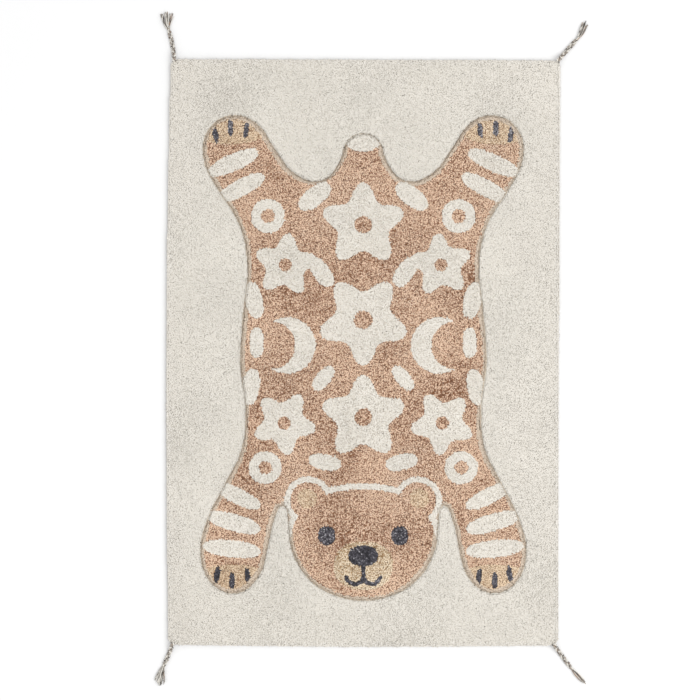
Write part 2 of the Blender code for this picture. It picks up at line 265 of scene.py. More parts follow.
def cotton_cut_pile(name, dark, middle, light, root):
    """Dyed cotton, tufted and sheared. No two tufts take the dye or the light alike, the roots are in
    painted shade, and the cut ends are a matt fuzz with painted shade between them: so the shade
    changes tuft by tuft, and fibre by fibre within a tuft, with no gloss."""
    material, surface, place = new_material(name)
    shade = put(material, "Attribute", attribute_name="shade").outputs["Fac"]
    height = put(material, "Attribute", attribute_name="height").outputs["Fac"]
    dye = put(material, "ValToRGB", {"Fac": shade})
    set_ramp(dye, ((0.0, dark), (0.44, middle), (0.56, middle), (1.0, light)))
    # fibres are 0.02 mm thick and stand upright; their cut ends are drawn as dots 0.7 mm across so
    #     that they show, with painted shade between them and between the locks
    upright = put(material, "Mapping", {"Vector": place, "Scale": (1.0, 1.0, 0.35)})
    locks = put(material, "TexNoise",
                {"Vector": upright.outputs["Vector"], "Scale": 1100.0, "Detail": 4.0, "Roughness": 0.7})
    cut_ends = put(material, "TexVoronoi", {"Vector": upright.outputs["Vector"], "Scale": 1400.0})
    end_light = put(material, "MapRange",
                    {"Value": cut_ends.outputs["Distance"], "From Min": 0.15, "From Max": 0.75,
                     "To Min": 1.00, "To Max": 0.83})
    # painted light and shade where feet and the loom's tension lay the pile over, 180 mm across
    lay = put(material, "TexNoise", {"Vector": place, "Scale": 5.5, "Detail": 2.0})
    lock_light = put(material, "MapRange",
                     {"Value": locks.outputs["Fac"], "From Min": 0.3, "From Max": 0.7,
                      "To Min": 0.89, "To Max": 1.07})
    lay_painted_light = put(material, "MapRange",
                    {"Value": lay.outputs["Fac"], "From Min": 0.3, "From Max": 0.7,
                     "To Min": 0.875, "To Max": 0.968})
    fibre_light = put(material, "Math",
                      {0: lock_light.outputs["Result"], 1: end_light.outputs["Result"]}, operation="MULTIPLY")
    both = put(material, "Math",
               {0: fibre_light.outputs[0], 1: lay_painted_light.outputs["Result"]}, operation="MULTIPLY")
    lit = put(material, "Mix", {"Factor": 1.0, 6: dye.outputs["Color"], 7: both.outputs[0]},
              data_type="RGBA", blend_type="MULTIPLY")
    # painted shade: low on each tuft the colour is mixed toward its root's darker colour, as shade falls
    # between the tufts
    up = put(material, "MapRange", {"Value": height, "From Min": 0.18, "From Max": 0.60})
    shaded = put(material, "Mix",
                 {"Factor": up.outputs["Result"], 6: linear(root), 7: lit.outputs[2]}, data_type="RGBA")
    ends = put(material, "Bump",
               {"Height": locks.outputs["Fac"], "Strength": 0.55, "Distance": FIBRE_DEPTH})
    return set_finish(material, surface, shaded.outputs[2], ends, 0.95, specular=0.25,
                      sheen=0.12, sheen_roughness=0.6)


def pile_bed():
    """The yarn between the tufts, packed and out of the light: painted shade, the yarn above it painted
    darker, as the bed's faces hold it, broken up at the size of a tuft."""
    material, surface, place = new_material("cotton_pile_bed")
    yarn = put(material, "Attribute", attribute_name="yarn").outputs["Color"]
    packed = put(material, "TexNoise", {"Vector": place, "Scale": 320.0, "Detail": 2.0})
    light = put(material, "MapRange",
                {"Value": packed.outputs["Fac"], "To Min": 0.75, "To Max": 1.15})
    colour = put(material, "Mix", {"Factor": 1.0, 6: yarn, 7: light.outputs["Result"]},
                 data_type="RGBA", blend_type="MULTIPLY")
    rough = put(material, "Bump",
                {"Height": packed.outputs["Fac"], "Strength": 0.8, "Distance": 0.002})
    return set_finish(material, surface, colour.outputs[2], rough, 0.97, specular=0.15)


def canvas_backing():
    """Plain-woven cotton canvas, glued over the tufts' backs and turned up as the hem: a regular
    weave of raised threads, unbleached and matt."""
    material, surface, place = new_material("plain_woven_canvas")
    # a canvas thread is 0.8 mm; it is drawn at 2 mm so that the weave shows. A band of the wave
    # texture, thread and gap, is pi / 10 long at scale 1
    bands = math.pi / 0.002 / 20
    warp, weft = (put(material, "TexWave",
                      {"Vector": place, "Scale": bands, "Distortion": 0.4, "Detail": 1.0},
                      wave_type="BANDS", bands_direction=way) for way in "XY")
    weave = put(material, "Math",
                {0: warp.outputs["Fac"], 1: weft.outputs["Fac"]}, operation="MAXIMUM")
    slub = put(material, "TexNoise", {"Vector": place, "Scale": 60.0, "Detail": 4.0})
    mixed = put(material, "Math",
                {0: weave.outputs[0], 1: slub.outputs["Fac"]}, operation="MULTIPLY")
    # the gaps of the weave are painted darker, as painted shade between the threads; the slub is the thread's
    # own uneven tone
    colour = put(material, "ValToRGB", {"Fac": mixed.outputs[0]})
    set_ramp(colour, ((0.0, "#b7ac98"), (0.7, "#dcd4c4")))
    raised = put(material, "Bump",
                 {"Height": weave.outputs[0], "Strength": 0.5, "Distance": 0.0006})
    return set_finish(material, surface, colour.outputs["Color"], raised, 0.92, specular=0.2)


def plied_yarn():
    """Two-ply cotton yarn from mixed natural and grey lots, braided by hand: its plies wind round each
    other in two colours, flecked along their length, with a soft halo of fibre."""
    material, surface, place = new_material("plied_cotton_yarn")
    lot = put(material, "Attribute", attribute_name="shade").outputs["Fac"]
    ply = put(material, "Attribute", attribute_name="ply").outputs["Fac"]
    other_lot = put(material, "Math", {0: lot, 1: OTHER_PLY}, operation="ADD")
    other_lot = put(material, "Math", {0: other_lot.outputs[0]}, operation="FRACT")
    plies = []
    for number in (lot, other_lot.outputs[0]):
        dyed = put(material, "ValToRGB", {"Fac": number})
        dyed.color_ramp.interpolation = "CONSTANT"
        set_ramp(dyed, YARN_LOTS)
        plies.append(dyed.outputs["Color"])
    seam = put(material, "MapRange", {"Value": ply, "From Min": 0.42, "From Max": 0.58})
    colour = put(material, "Mix", {"Factor": seam.outputs["Result"], 6: plies[0], 7: plies[1]},
                 data_type="RGBA")
    # flecks where the two plies differ, about 2 mm long
    flecks = put(material, "TexNoise", {"Vector": place, "Scale": 420.0, "Detail": 3.0})
    fleck_light = put(material, "MapRange",
                      {"Value": flecks.outputs["Fac"], "From Min": 0.3, "From Max": 0.7,
                       "To Min": 0.80, "To Max": 1.12})
    lit = put(material, "Mix",
              {"Factor": 1.0, 6: colour.outputs[2], 7: fleck_light.outputs["Result"]},
              data_type="RGBA", blend_type="MULTIPLY")
    fibres = put(material, "TexNoise", {"Vector": place, "Scale": 1500.0, "Detail": 2.0})
    halo = put(material, "Bump",
               {"Height": fibres.outputs["Fac"], "Strength": 0.5, "Distance": 0.0004})
    return set_finish(material, surface, lit.outputs[2], halo, 0.9, specular=0.25, sheen=0.2)


def whipping_thread():
    """Undyed cotton thread, wound tight round the braid's end: smoother and paler than the yarn."""
    material, surface, place = new_material("undyed_cotton_thread")
    twist = put(material, "TexNoise", {"Vector": place, "Scale": 1800.0, "Detail": 2.0})
    colour = put(material, "ValToRGB", {"Fac": twist.outputs["Fac"]})
    set_ramp(colour, ((0.3, "#d5cfb9"), (0.7, "#f0ecdc")))
    raised = put(material, "Bump",
                 {"Height": twist.outputs["Fac"], "Strength": 0.4, "Distance": 0.0003})
    return set_finish(material, surface, colour.outputs["Color"], raised, 0.8, sheen=0.1)


def studio_floor():
    """A white matt floor."""
    material, surface, _ = new_material("white_floor")
    surface.inputs["Base Color"].default_value = (FLOOR_WHITE, FLOOR_WHITE, FLOOR_WHITE, 1.0)
    surface.inputs["Roughness"].default_value = 0.9
    surface.inputs["Specular IOR Level"].default_value = 0.1
    return material


# Each yarn's dye: the darkest, usual and lightest tufts, and the painted shade of its root.
DYES_AND_PAINTED_ROOT_SHADES = {
    # yarn       dark       middle     light      root
    "ground":   ("#d8d2c7", "#e4dfd6", "#ece8e1", "#dcd6cb"),
    "outline":  ("#b09f8b", "#dccbb8", "#e9ddcf", "#a6937e"),
    "groove":   ("#b7a792", "#dccdb8", "#ebe0d0", "#bcad99"),
    "tan":      ("#7d5133", "#f2d2b6", "#f4ddc7", "#885b3c"),
    "motif":    ("#d4cdc0", "#eee9e0", "#f5f1ea", "#d6cec1"),
    "sand":     ("#977456", "#f0d9bb", "#f7e8d2", "#a17f5e"),
    "muzzle":   ("#a08059", "#f7e6cc", "#fcf1de", "#a4845c"),
    "charcoal": ("#28262c", "#5b5860", "#b2afb4", "#201e25"),
}
# The bed's colours under the hide, the groove and the ground: painted shade, darker than the tufts, where
# only shade shows between them
BED_PAINTED_SHADES = {"hide": "#6f5544", "groove": "#bcad99", "ground": "#dcd6cb"}
FIBRE_DEPTH = 0.0012        # of the bump on the cut ends


# --- the relief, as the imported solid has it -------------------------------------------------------

def rug_solid():
    """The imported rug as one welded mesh, with a tree to measure its height from."""
    solid = bmesh.new()
    solid.from_mesh(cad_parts["rug"].data)
    bmesh.ops.remove_doubles(solid, verts=solid.verts, dist=1e-5)
    solid.faces.ensure_lookup_table()
    return solid, BVHTree.FromBMesh(solid)


def edge_of_level(solid, height):
    """The straight stretches round the solid's level faces at a height, as rows of x0, y0, x1, y1."""
    level = {face for face in solid.faces if all(abs(v.co.z - height) < 5e-5 for v in face.verts)}
    rim = [edge for edge in solid.edges if sum(face in level for face in edge.link_faces) == 1]
    return np.array([[*edge.verts[0].co.xy, *edge.verts[1].co.xy] for edge in rim])


def outside_by(points, stretches):
    """How far each point lies outside a closed outline, and the way out of it there. Inside it the
    distance is negative."""
    start, end = stretches[:, :2], stretches[:, 2:]
    along = end - start
    length_squared = (along ** 2).sum(1)
    rise = np.where(along[:, 1] == 0, 1.0, along[:, 1])
    distances = np.empty(len(points))
    ways = np.empty((len(points), 2))
    for first in range(0, len(points), POINTS_AT_ONCE):
        block = slice(first, first + POINTS_AT_ONCE)
        some = points[block, None, :]
        share = ((some - start) * along).sum(2) / length_squared
        off = some - start - np.clip(share, 0.0, 1.0)[:, :, None] * along
        far = np.sqrt((off ** 2).sum(2))
        closest = far.argmin(1)
        rows = np.arange(len(some))
        distance = far[rows, closest] + 1e-9
        spans = (start[:, 1] > some[:, :, 1]) != (end[:, 1] > some[:, :, 1])
        crossing = start[:, 0] + (some[:, :, 1] - start[:, 1]) / rise * along[:, 0]
        inside = (spans & (crossing > some[:, :, 0])).sum(1) % 2 == 1
        sign = np.where(inside, -1.0, 1.0)
        distances[block] = distance * sign
        ways[block] = off[rows, closest] / distance[:, None] * sign[:, None]
    return distances, ways


def heights_at(tree, points, top):
    """The solid's height under each point; 0 beside the rug."""
    down = Vector((0.0, 0.0, -1.0))
    found = np.zeros(len(points))
    for index, (x, y) in enumerate(points):
        hit = tree.ray_cast(Vector((x, y, 2 * top)), down)[0]
        if hit is not None:
            found[index] = hit.z
    return found


# --- the pattern ----------------------------------------------------------------------------------

def inside_form(form, x, y, centre_x, centre_y, size, width, turn):
    """Whether points lie in a motif: a five-armed star, a pebble, a ring or a new moon."""
    angle = math.radians(turn)
    right = x - centre_x
    up = y - centre_y
    along = right * math.cos(angle) + up * math.sin(angle)
    across = up * math.cos(angle) - right * math.sin(angle)
    distance = np.hypot(right, up)
    if form == "star":
        arms = 0.5 + 0.5 * np.cos(5 * np.arctan2(across, along))
        edge = size * (1 - width + width * arms ** 1.3)
        return (distance < edge) & (distance > STAR_HEART * size)
    if form == "pebble":
        return np.abs(along / size) ** 2.3 + np.abs(across / width) ** 2.3 < 1
    if form == "ring":
        return (distance < size) & (distance > size - width)
    return (distance < size) & (np.hypot(along - width, across) > 0.86 * size)


def in_circle(x, y, circle, grow=0.0):
    """Whether points lie in a circle of x, y and radius."""
    return np.hypot(x - circle[0], y - circle[1]) < circle[2] + grow


def yarn_at(points, outside_bear):
    """The number of the yarn that is tufted at each point."""
    x, y = points[:, 0], points[:, 1]
    side = np.abs(x)
    motif = in_circle(side, y, TAIL_TIP)
    for row in MOTIFS:
        motif |= inside_form(row[0], side, y, *row[1:])
    form, head_x, head_y, head_long, head_wide, turn = HEAD
    motif |= inside_form(form, side, y, head_x, head_y, head_long + COLLAR, head_wide + COLLAR, turn)
    motif |= in_circle(side, y, EAR, COLLAR)
    head = inside_form(form, side, y, head_x, head_y, head_long, head_wide, turn) | in_circle(side, y, EAR)
    sand = in_circle(side, y, INNER_EAR)
    for paw in PAWS:
        sand |= inside_form(paw[0], side, y, *paw[1:])
    dark = inside_form(NOSE[0], side, y, *NOSE[1:]) | inside_form(EYE[0], side, y, *EYE[1:])
    dark |= (side < MOUTH_LINE) & (y < MOUTH_TOP) & (y > MOUTH_CORNER)
    lip = np.abs(np.hypot(side - MOUTH_CURVE, y - MOUTH_CORNER) - MOUTH_CURVE) < MOUTH_LINE
    dark |= lip & (y < MOUTH_CORNER)
    for claw_x, claw_y, claw_turn in CLAWS:
        dark |= inside_form("pebble", side, y, claw_x, claw_y, CLAW_LENGTH, CLAW_WIDTH, claw_turn)
    yarn = np.full(len(points), YARNS.index("tan"))
    yarn[motif & ~head] = YARNS.index("motif")
    yarn[sand] = YARNS.index("sand")
    yarn[inside_form(MUZZLE[0], side, y, *MUZZLE[1:])] = YARNS.index("muzzle")
    yarn[dark] = YARNS.index("charcoal")
    yarn[(outside_bear > OUTLINE_FROM) & ~(motif & ~head)] = YARNS.index("outline")
    yarn[outside_bear > SHOULDER] = YARNS.index("groove")
    yarn[outside_bear > SHOULDER + SLOT] = YARNS.index("ground")
    return yarn


# --- tufts ----------------------------------------------------------------------------------------

def joined_mesh(name, corners, faces, values, map_places=None):
    """One mesh from arrays. faces is a list of arrays, each for its own number of corners; values are
    numbers kept at each corner; map_places are a place on a flat map for each face's corner."""
    mesh = bpy.data.meshes.new(name)
    loops = np.concatenate([group.ravel() for group in faces]).astype(np.int32)
    sizes = np.concatenate([np.full(len(group), group.shape[1]) for group in faces])
    starts = np.concatenate([[0], np.cumsum(sizes)[:-1]]).astype(np.int32)
    mesh.vertices.add(len(corners))
    mesh.vertices.foreach_set("co", corners.astype(np.float32).ravel())
    mesh.loops.add(len(loops))
    mesh.loops.foreach_set("vertex_index", loops)
    mesh.polygons.add(len(sizes))
    mesh.polygons.foreach_set("loop_start", starts)
    mesh.update(calc_edges=True)
    mesh.shade_smooth()
    for value_name, numbers in values.items():
        kept = mesh.attributes.new(value_name, "FLOAT", "POINT")
        kept.data.foreach_set("value", np.asarray(numbers, dtype=np.float32))
    if map_places is not None:
        flat = mesh.uv_layers.new(name="OFBake")
        flat.data.foreach_set("uv", map_places[loops].astype(np.float32).ravel())
    return mesh


def show(name, mesh, material):
    """Puts a mesh in the scene as a piece of the rug."""
    mesh.materials.append(material)
    piece = bpy.data.objects.new(name, mesh)
    bpy.context.scene.collection.objects.link(piece)
    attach(piece, "root")
    return piece


def tuft_mesh(name, roots, tips, radii, shades, rng, map_centres, shoulder=None):
    """The upper ends of cut tufts, of four sides and closed below. Each runs up to a point that its
    neighbours crowd into a low dome, or first to a shoulder where it stands free."""
    count = len(roots)
    axis = tips - roots
    axis /= np.linalg.norm(axis, axis=1)[:, None]
    level = np.cross(axis, np.array([0.31, 0.95, 0.0]))
    level /= np.linalg.norm(level, axis=1)[:, None]
    other = np.cross(axis, level)
    angle = rng.uniform(0, 2 * math.pi, (count, 1)) + math.pi / 2 * np.arange(4)
    spoke = np.cos(angle)[:, :, None] * level[:, None] + np.sin(angle)[:, :, None] * other[:, None]
    reach = radii[:, None, None] * (1.0 + rng.uniform(-0.20, 0.20, (count, 4, 1)))
    reach *= np.array([LOCK_LENGTH, LOCK_WIDTH, LOCK_LENGTH, LOCK_WIDTH])[:, None]
    if shoulder is None:
        tips = tips + spoke[:, 0] * (radii * rng.uniform(-0.4, 0.4, count))[:, None]
    # a ring's third number is its height share, which sets how much painted root shade its corners take
    rings = [(roots, reach, 0.0)]
    if shoulder is not None:
        rings = [(roots, 0.72 * reach, 0.45), (roots + (tips - roots) * shoulder, reach, 0.9)]
    levels = [centre[:, None] + spoke * wide for centre, wide, _ in rings]
    corners = np.concatenate(levels + [tips[:, None]], axis=1)
    each = corners.shape[1]
    first = np.arange(count)[:, None] * each
    ring = np.arange(4)
    following = np.roll(ring, -1)
    low = each - 5
    dome = np.stack([ring + low, following + low, np.full(4, each - 1)], axis=1)
    faces = [first + ring[::-1], (first[:, :, None] + dome).reshape(-1, 3)]
    if shoulder is not None:
        wall = np.stack([ring, following, following + 4, ring + 4], axis=1)
        faces.append((first[:, :, None] + wall).reshape(-1, 4))
    height = np.tile(np.concatenate([np.full(4, up) for _, _, up in rings] + [[1.0]]), count)
    spread = np.concatenate([np.full(4, 0.5 - 0.1 * up) for _, _, up in rings] + [[0.0]]) * PITCH
    turned = np.concatenate([angle] * len(rings) + [np.zeros((count, 1))], axis=1)
    places = map_centres[:, None] + spread[None, :, None] * np.stack([np.cos(turned), np.sin(turned)], axis=2)
    places = places.reshape(-1, 2)
    places = (places - places.min(0)) / (places.max(0) - places.min(0))
    mesh = joined_mesh(name, corners.reshape(-1, 3), faces,
                       {"shade": np.repeat(shades, each), "height": height}, places)
    flat = np.zeros(len(mesh.polygons), dtype=bool)
    flat[:count] = True
    mesh.attributes.new("sharp_face", "BOOLEAN", "FACE").data.foreach_set("value", flat)
    return mesh


def rows_of_tufts(rng):
    """Points along rows that run from head to tail, as a tufting gun walks them."""
    columns = np.arange(-0.620, 0.620, PITCH)
    steps = np.arange(-0.920, 0.920, PITCH)
    x = np.repeat(columns, len(steps))
    y = (steps[None, :] + rng.uniform(0, PITCH, (len(columns), 1))).ravel()
    row = np.repeat(np.arange(len(columns)), len(steps))
    return np.stack([x, y], axis=1), row


def places_along(stretches, pitch):
    """Even places along an outline: the stretch that each is on, its number there, and their count."""
    lengths = np.linalg.norm(stretches[:, 2:] - stretches[:, :2], axis=1)
    counts = np.maximum(1, np.round(lengths / pitch)).astype(int)
    stretch = np.repeat(np.arange(len(counts)), counts)
    number = np.arange(len(stretch)) - np.repeat(np.cumsum(counts) - counts, counts)
    return stretch, number, counts[stretch]


def rows_along(bear_edge, offset):
    """Points along a row that follows the bear's outline, a given way outside it, and the way out."""
    start, end = bear_edge[:, :2], bear_edge[:, 2:]
    lengths = np.linalg.norm(end - start, axis=1)
    along = (end - start) / lengths[:, None]
    across = np.stack([along[:, 1], -along[:, 0]], axis=1)
    beside, _ = outside_by((start + end) / 2 + 0.0005 * across, bear_edge)
    across *= np.sign(beside)[:, None]
    stretch, number, count = places_along(bear_edge, LINE_PITCH)
    share = ((number + 0.5) / count)[:, None]
    points = start[stretch] + (end - start)[stretch] * share + across[stretch] * offset
    outside, _ = outside_by(points, bear_edge)
    kept = np.abs(outside - offset) < 0.0006
    return points[kept], across[stretch][kept]


def stand_back(points, outside, way_out, yarn):
    """Tufts beside another yarn stand back into their own, as the line between two is tufted first."""
    reach = 0.5 * PITCH
    for _ in range(2):
        push = np.zeros_like(points)
        for turn in np.arange(8) * math.pi / 4:
            way = np.array([math.cos(turn), math.sin(turn)])
            there = yarn_at(points + way * reach, outside + way_out @ way * reach)
            push += np.where(there == yarn, 1.0, -1.0)[:, None] * way
        step = 0.06 * reach * push
        points = points + step
        outside = outside + (step * way_out).sum(1)
    return points


def smooth_field(points, rng, length, waves=7):
    """A slow, even wander between about -1 and 1 over the rug, with features of a given length."""
    field = np.zeros(len(points))
    for _ in range(waves):
        heading = rng.uniform(0, 2 * math.pi)
        wavelength = length * rng.uniform(0.7, 1.8)
        phase = rng.uniform(0, 2 * math.pi)
        walk = points[:, 0] * math.cos(heading) + points[:, 1] * math.sin(heading)
        field += np.sin(2 * math.pi * walk / wavelength + phase)
    return field / math.sqrt(waves) / 1.4


def clumps_of(points, rng):
    """For each tuft the way to the middle of the clump that it clings to, and that clump's tone."""
    bend = np.stack([smooth_field(points, rng, 0.05), smooth_field(points, rng, 0.05)], axis=1)
    drawn = (points + CLUMP_BEND * bend) * CLUMP_SHAPE / CLUMP
    cell = np.floor(drawn).astype(int)
    first = cell.min(0) - 1
    middles = rng.uniform(0.1, 0.9, (*(cell.max(0) - first + 2), 2))
    tones = rng.uniform(-1.0, 1.0, middles.shape[:2])
    nearest = np.full(len(points), np.inf)
    way = np.zeros_like(points)
    tone = np.zeros(len(points))
    for beside in np.ndindex(3, 3):
        there = cell + np.array(beside) - 1
        index = tuple((there - first).T)
        toward = there + middles[index] - drawn
        distance = np.linalg.norm(toward, axis=1)
        closer = distance < nearest
        nearest[closer] = distance[closer]
        way[closer] = (toward * CLUMP / CLUMP_SHAPE)[closer]
        tone[closer] = tones[index][closer]
    return way, tone


def plant(name, yarn, pile, material, rng):
    """Tufts one yarn at its places, up to the relief's height. pile holds, for each place, the point,
    the height, the lean outward, the width, its row's tone with painted light along the hem, and how
    the pile lies there."""
    (radius, depth, height_varies, wanders, leans, shade_varies, clings, clump_varies,
     dark, parts, lost) = PILE[yarn]
    kept = rng.random(len(pile["points"])) > lost
    pile = {what: values[kept] for what, values in pile.items()}
    count = len(pile["points"])
    stray = rng.uniform(-1, 1, (count, 2)) * wanders * PITCH
    points = pile["points"] + stray * pile["width"][:, None]
    clump, parting, parted_pile = pile["clump"], pile["parting"], pile["parted_pile"]
    lean = pile["lay"] * leans + rng.normal(0.0, leans, (count, 2))
    lean += (pile["way"] - stray) * (clings * (0.4 + 0.6 * parted_pile))[:, None]
    lean = lean * pile["width"][:, None] + pile["outward"]
    in_parting = parting < parts * parted_pile
    height = pile["tops"] + (rng.uniform(-1.0, 0.5, count) + 0.6 * clump - 1.0 * in_parting) * height_varies
    roots = np.column_stack([points - lean * 0.3, height - depth])
    tips = np.column_stack([points + lean, height])
    radii = PITCH * radius * pile["width"] * (1.0 + rng.normal(0.0, 0.10, count)).clip(0.7, 1.4)
    # painted light: the pile is painted paler along the hem; each row also has its own tone
    shades = 0.5 + shade_varies * (0.6 + 0.6 * parted_pile) * rng.normal(0.0, 1.0, count) + pile["row_tone_and_painted_hem_light"]
    # painted light and shade: where the pile is laid over, its tufts are painted lighter and darker; each
    # clump also has its own tone
    shades += clump_varies * (0.6 * clump + 0.5 * pile["lay"][:, 0])
    # painted light and shade: between partings the crowns are painted lighter, tufts in a parting darker, and
    # much-parted pile darker overall
    shades += 1.2 * parts * (parting - 0.35) * parted_pile - PARTING_SHADE * in_parting
    shades -= 0.4 * parts * (parted_pile - 0.55)
    # a few tufts painted dark: painted shade of the gaps between tufts
    shades -= 0.42 * (rng.random(count) < dark)
    mesh = tuft_mesh(name, roots, tips, radii, shades.clip(0.0, 1.0), rng, points)
    return show(name, mesh, material)


def rim_of_tufts(hem, material, rng):
    """Two rows of tufts that lean out over the hem, so that the rug ends in pile, not in a cut edge."""
    start, end = hem[:, :2], hem[:, 2:]
    stretch, number, on_stretch = places_along(hem, RIM_PITCH)
    count = len(number)
    roots, tips, centres = [], [], []
    rows = (
        # reach    root     tip, in height
        (0.0046,   0.0028,  0.0066),
        (0.0034,   0.0060,  0.0110),
    )
    for row, (reach, root_height, tip_height) in enumerate(rows):
        share = (number + 0.5 * row + rng.uniform(0.1, 0.4, count)) / on_stretch
        foot = start[stretch] + (end - start)[stretch] * share[:, None]
        along = (end - start)[stretch] / np.linalg.norm(end - start, axis=1)[stretch, None]
        outward = np.stack([along[:, 1], -along[:, 0]], axis=1)
        outward *= np.sign((outward * foot).sum(1))[:, None]
        reaches = reach + rng.uniform(*RIM_UNEVEN, count)
        sway = rng.normal(0.0, 0.0006, count)
        tip = foot + outward * reaches[:, None] + along * sway[:, None]
        root = foot + outward * (reaches - RIM_TUFT_RUN)[:, None]
        roots.append(np.column_stack([root, np.full(count, root_height)]))
        tips.append(np.column_stack([tip, tip_height + rng.uniform(*RIM_UNEVEN, count)]))
        centres.append(foot - outward * row * RIM_PITCH)
    roots, tips, centres = np.concatenate(roots), np.concatenate(tips), np.concatenate(centres)
    radii = RIM_TUFT * (1.0 + rng.normal(0.0, 0.10, len(roots))).clip(0.6, 1.4)
    # the rim's tufts are painted pale: painted light on the rug's rounded edge
    shades = (0.9 + 0.12 * rng.normal(0.0, 1.0, len(roots))).clip(0.0, 1.0)
    mesh = tuft_mesh("rim_pile", roots, tips, radii, shades, rng, centres, shoulder=0.74)
    return show("rim_pile", mesh, material)


# --- the bed under the pile -----------------------------------------------------------------------

def make_bed(solid, bear_edge):
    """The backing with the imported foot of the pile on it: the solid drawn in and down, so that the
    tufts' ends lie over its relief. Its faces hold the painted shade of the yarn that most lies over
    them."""
    bed = solid.copy()
    scale = Vector((1 - BED_INSET / RUG_HALF[0], 1 - BED_INSET / RUG_HALF[1], BED_HEIGHT))
    bmesh.ops.scale(bed, vec=scale, verts=bed.verts)
    mesh = bpy.data.meshes.new("rug_backing")
    bed.to_mesh(mesh)
    bed.free()
    centres = np.array([face.center[:2] for face in mesh.polygons])
    outside, _ = outside_by(centres, bear_edge)
    zones = list(BED_PAINTED_SHADES)
    zone = np.where(outside < 0, zones.index("hide"), zones.index("groove"))
    zone[outside > SHOULDER + GROOVE] = zones.index("ground")
    # painted shade for the faces of each zone
    roots = np.array([linear(dye) for dye in BED_PAINTED_SHADES.values()], np.float32)
    corners = np.repeat(zone, [face.loop_total for face in mesh.polygons])
    yarn = mesh.color_attributes.new("yarn", "FLOAT_COLOR", "CORNER")
    yarn.data.foreach_set("color", roots[corners].ravel())
    mesh.shade_smooth()
    mesh.set_sharp_from_angle(angle=math.radians(35.0))
    backing = show("rug_backing", mesh, pile_bed())
    mesh.materials.append(canvas_backing())
    for face in mesh.polygons:
        if face.normal.z < -0.2:
            face.material_index = 1
    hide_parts("rug")
    return backing


# --- tassels --------------------------------------------------------------------------------------

class TasselLine:
    """A tassel's middle line on the floor, which turns a little in its braid and in its brush."""

    def __init__(self, root, headings, braid, brush):
        self.root = np.array(root)
        self.headings = np.radians(headings)
        self.braid = braid
        self.total = braid + NECK_LENGTH + brush

    def angle(self, distance):
        """The heading at each distance along the line."""
        first, middle, last = self.headings
        turned = np.clip(2.0 * (distance - self.braid) / (self.total - self.braid), 0.0, 1.0)
        return np.where(distance < self.braid, first + (middle - first) * distance / self.braid,
                        middle + (last - middle) * turned)

    def points(self, distance, across, height):
        """Points at distances along the line, moved across it and up."""
        distance = np.asarray(distance, float)
        shares = (np.arange(16) + 0.5) / 16
        angles = self.angle(distance[..., None] * shares)
        x = self.root[0] + (np.cos(angles).mean(-1)) * distance
        y = self.root[1] + (np.sin(angles).mean(-1)) * distance
        angle = self.angle(distance)
        return np.stack([x - np.sin(angle) * across, y + np.cos(angle) * across,
                         np.broadcast_to(height, x.shape)], axis=-1)


def yarn_mesh(name, paths, radii, shades, sides, ply_pitch, flatness):
    """Two-ply yarns along paths, yarn by step by place: an oval section that turns as the plies do."""
    count, steps, _ = paths.shape
    tangent = np.gradient(paths, axis=1)
    tangent /= np.linalg.norm(tangent, axis=2)[:, :, None]
    level = np.cross(tangent, np.array([0.0, 0.0, 1.0]))
    level /= np.linalg.norm(level, axis=2)[:, :, None]
    upright = np.cross(level, tangent)
    walked = np.zeros((count, steps))
    walked[:, 1:] = np.cumsum(np.linalg.norm(np.diff(paths, axis=1), axis=2), axis=1)
    angle = 2 * math.pi * np.arange(sides) / sides
    turned = angle - (2 * math.pi * walked / ply_pitch + 5.0 * np.arange(count)[:, None])[:, :, None]
    reach = radii[:, :, None] * (1.0 + flatness * np.cos(2 * turned))
    ply = 0.5 + 0.5 * np.cos(turned + math.pi / 4)
    ring = (np.cos(angle)[:, None] * level[:, :, None] + np.sin(angle)[:, None] * upright[:, :, None])
    corners = paths[:, :, None] + ring * reach[:, :, :, None]
    corners[..., 2] = np.maximum(corners[..., 2], 0.0)
    each = steps * sides
    first = np.arange(count)[:, None, None] * each
    step = np.arange(steps - 1)[:, None] * sides
    here, following = np.arange(sides), np.roll(np.arange(sides), -1)
    walls = np.stack([step + here, step + sides + here, step + sides + following, step + following], axis=2)
    faces = [(first[..., None] + walls[None]).reshape(-1, 4)[:, ::-1],
             first[:, :, 0] + here[::-1], first[:, :, 0] + (steps - 1) * sides + here]
    along = walked / walked.max()
    strip = (np.arange(count)[:, None, None] + 0.1 + 0.8 * here / sides) / count
    places = np.stack([np.broadcast_to(along[:, :, None], (count, steps, sides)),
                       np.broadcast_to(strip, (count, steps, sides))], axis=3)
    return joined_mesh(name, corners.reshape(-1, 3), faces,
                       {"shade": np.repeat(shades, each), "ply": ply.ravel()}, places.reshape(-1, 2))


